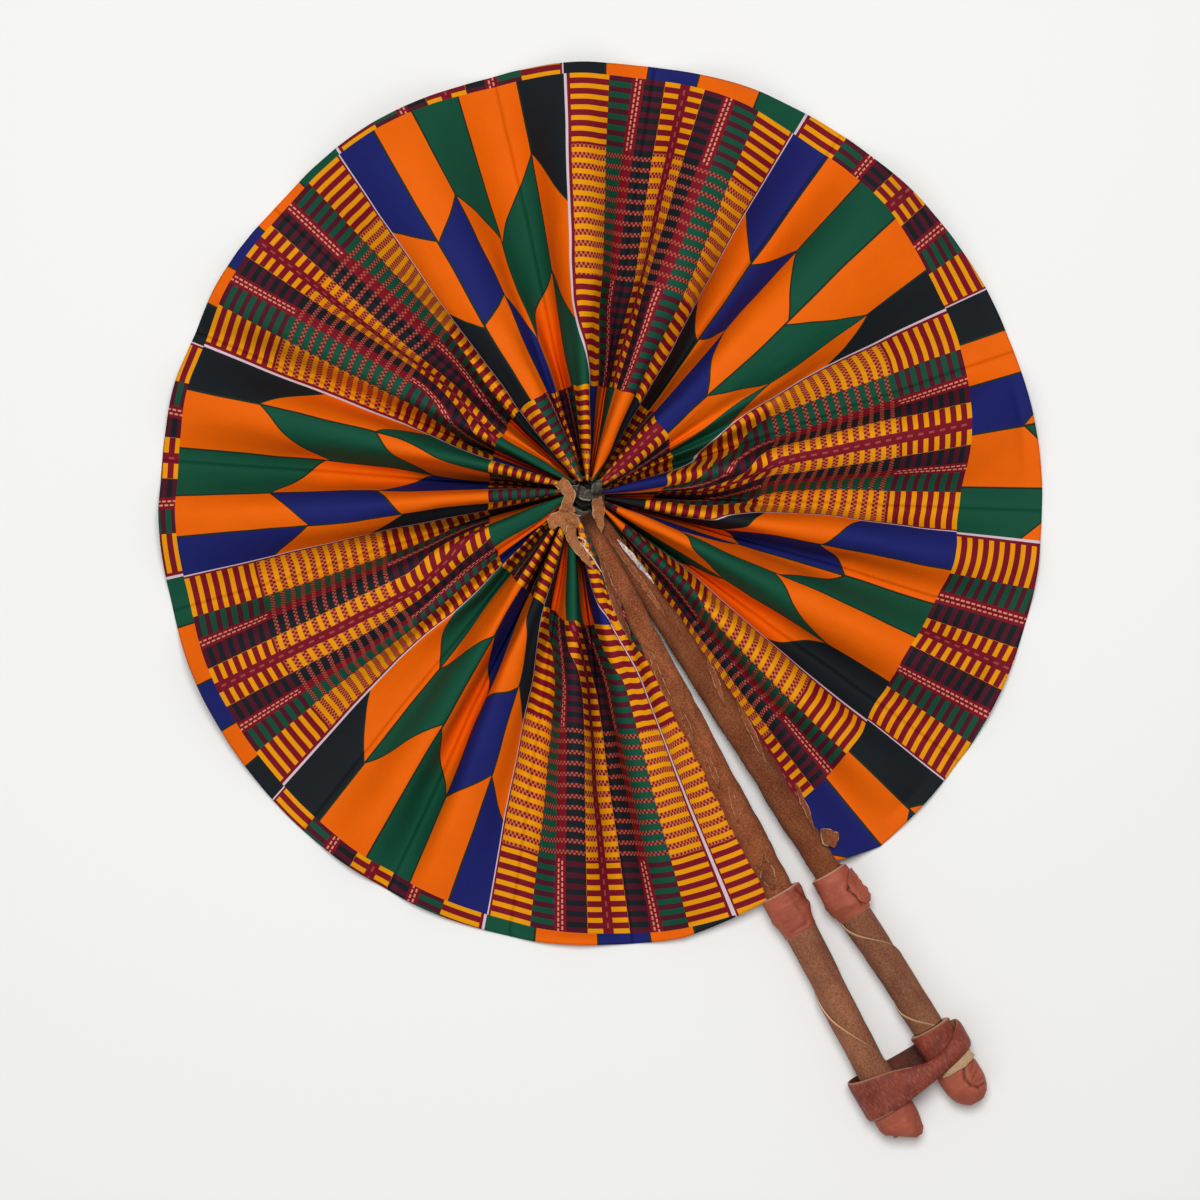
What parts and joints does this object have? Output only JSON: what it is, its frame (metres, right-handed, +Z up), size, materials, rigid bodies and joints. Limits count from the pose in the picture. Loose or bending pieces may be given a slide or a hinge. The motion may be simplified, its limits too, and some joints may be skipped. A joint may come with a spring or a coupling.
{
  "type": "cloth folding fan",
  "caption": "Round pleated cloth fan on two leather-wrapped sticks: it opens a full circle, its handles held side by side by a leather strap.",
  "frame": {"origin": "under the pivot, on the surface that the open fan lies on", "axes": "+Z up from that surface along the pivot, -Y from the pivot along the line half way between the two handles, +X to the right handle's side"},
  "size_m": [0.3453, 0.448, 0.021],
  "materials": {
    "wood": "plain, unvarnished",
    "suede": "soft brown suede, raw cut edges",
    "red_leather": "smooth red-brown leather, creased",
    "dark_leather": "dark worn leather",
    "cord": "twisted cotton cord",
    "cotton": "waxed printed cotton, woven-strip pattern in orange, yellow, green, blue and maroon"
  },
  "bodies": {
    "left_handle": {"left_stick": "wood", "left_sleeve": "suede", "left_knot": "suede", "left_collar": "red_leather", "left_grip": "suede", "left_cap": "red_leather", "gather_cord": "cord", "pivot_knot": "dark_leather", "centre_tie": "suede"},
    "right_handle": {"right_stick": "wood", "right_sleeve": "suede", "right_tab": "suede", "right_collar": "red_leather", "right_grip": "suede", "right_band": "red_leather", "right_cap": "red_leather", "centre_loop": "suede"},
    "pleat_01": {"pleat_01": "cotton"},
    "pleat_02": {"pleat_02": "cotton"},
    "pleat_03": {"pleat_03": "cotton"},
    "pleat_04": {"pleat_04": "cotton"},
    "pleat_05": {"pleat_05": "cotton"},
    "pleat_06": {"pleat_06": "cotton"},
    "pleat_07": {"pleat_07": "cotton"},
    "pleat_08": {"pleat_08": "cotton"},
    "pleat_09": {"pleat_09": "cotton"},
    "pleat_10": {"pleat_10": "cotton"},
    "pleat_11": {"pleat_11": "cotton"},
    "pleat_12": {"pleat_12": "cotton"},
    "pleat_13": {"pleat_13": "cotton"},
    "pleat_14": {"pleat_14": "cotton"},
    "pleat_15": {"pleat_15": "cotton"},
    "pleat_16": {"pleat_16": "cotton"},
    "strap": {"strap": "red_leather"}
  },
  "joints": [
    {"name": "fan_opening", "type": "hinge", "parent": "left_handle", "child": "right_handle", "pos_m": [0, 0, 0], "axis": [0, 0, 1], "range_deg": [0, 342.5], "deforming": ["pleat_01", "pleat_02", "pleat_03", "pleat_04", "pleat_05", "pleat_06", "pleat_07", "pleat_08", "pleat_09", "pleat_10", "pleat_11", "pleat_12", "pleat_13", "pleat_14", "pleat_15", "pleat_16", "strap"]},
    {"name": "pleat_01_turn", "type": "hinge", "parent": "left_handle", "child": "pleat_01", "pos_m": [0, 0, 0], "axis": [0, 0, 1], "range_deg": [0, 9.1]},
    {"name": "pleat_02_turn", "type": "hinge", "parent": "left_handle", "child": "pleat_02", "pos_m": [0, 0, 0], "axis": [0, 0, 1], "range_deg": [0, 25.8]},
    {"name": "pleat_03_turn", "type": "hinge", "parent": "left_handle", "child": "pleat_03", "pos_m": [0, 0, 0], "axis": [0, 0, 1], "range_deg": [0, 41.8]},
    {"name": "pleat_04_turn", "type": "hinge", "parent": "left_handle", "child": "pleat_04", "pos_m": [0, 0, 0], "axis": [0, 0, 1], "range_deg": [0, 56.7]},
    {"name": "pleat_05_turn", "type": "hinge", "parent": "left_handle", "child": "pleat_05", "pos_m": [0, 0, 0], "axis": [0, 0, 1], "range_deg": [0, 80.2]},
    {"name": "pleat_06_turn", "type": "hinge", "parent": "left_handle", "child": "pleat_06", "pos_m": [0, 0, 0], "axis": [0, 0, 1], "range_deg": [0, 107]},
    {"name": "pleat_07_turn", "type": "hinge", "parent": "left_handle", "child": "pleat_07", "pos_m": [0, 0, 0], "axis": [0, 0, 1], "range_deg": [0, 125.8]},
    {"name": "pleat_08_turn", "type": "hinge", "parent": "left_handle", "child": "pleat_08", "pos_m": [0, 0, 0], "axis": [0, 0, 1], "range_deg": [0, 144.3]},
    {"name": "pleat_09_turn", "type": "hinge", "parent": "left_handle", "child": "pleat_09", "pos_m": [0, 0, 0], "axis": [0, 0, 1], "range_deg": [0, 171.2]},
    {"name": "pleat_10_turn", "type": "hinge", "parent": "left_handle", "child": "pleat_10", "pos_m": [0, 0, 0], "axis": [0, 0, 1], "range_deg": [0, 198.8]},
    {"name": "pleat_11_turn", "type": "hinge", "parent": "left_handle", "child": "pleat_11", "pos_m": [0, 0, 0], "axis": [0, 0, 1], "range_deg": [0, 222.2]},
    {"name": "pleat_12_turn", "type": "hinge", "parent": "left_handle", "child": "pleat_12", "pos_m": [0, 0, 0], "axis": [0, 0, 1], "range_deg": [0, 252.6]},
    {"name": "pleat_13_turn", "type": "hinge", "parent": "left_handle", "child": "pleat_13", "pos_m": [0, 0, 0], "axis": [0, 0, 1], "range_deg": [0, 280.3]},
    {"name": "pleat_14_turn", "type": "hinge", "parent": "left_handle", "child": "pleat_14", "pos_m": [0, 0, 0], "axis": [0, 0, 1], "range_deg": [0, 297.3]},
    {"name": "pleat_15_turn", "type": "hinge", "parent": "left_handle", "child": "pleat_15", "pos_m": [0, 0, 0], "axis": [0, 0, 1], "range_deg": [0, 313.7]},
    {"name": "pleat_16_turn", "type": "hinge", "parent": "left_handle", "child": "pleat_16", "pos_m": [0, 0, 0], "axis": [0, 0, 1], "range_deg": [0, 332.9]},
    {"name": "strap_slide", "type": "slide", "parent": "left_handle", "child": "strap", "axis": [0, -1, 0], "range_m": [0, 0.036]}
  ],
  "couplings": [
    {"joint": "pleat_01_turn", "follows": "fan_opening", "ratio": 0.026},
    {"joint": "pleat_02_turn", "follows": "fan_opening", "ratio": 0.0748},
    {"joint": "pleat_03_turn", "follows": "fan_opening", "ratio": 0.1216},
    {"joint": "pleat_04_turn", "follows": "fan_opening", "ratio": 0.1651},
    {"joint": "pleat_05_turn", "follows": "fan_opening", "ratio": 0.2336},
    {"joint": "pleat_06_turn", "follows": "fan_opening", "ratio": 0.3119},
    {"joint": "pleat_07_turn", "follows": "fan_opening", "ratio": 0.3668},
    {"joint": "pleat_08_turn", "follows": "fan_opening", "ratio": 0.421},
    {"joint": "pleat_09_turn", "follows": "fan_opening", "ratio": 0.4994},
    {"joint": "pleat_10_turn", "follows": "fan_opening", "ratio": 0.5801},
    {"joint": "pleat_11_turn", "follows": "fan_opening", "ratio": 0.6482},
    {"joint": "pleat_12_turn", "follows": "fan_opening", "ratio": 0.7371},
    {"joint": "pleat_13_turn", "follows": "fan_opening", "ratio": 0.8179},
    {"joint": "pleat_14_turn", "follows": "fan_opening", "ratio": 0.8675},
    {"joint": "pleat_15_turn", "follows": "fan_opening", "ratio": 0.9155},
    {"joint": "pleat_16_turn", "follows": "fan_opening", "ratio": 0.9715}
  ]
}
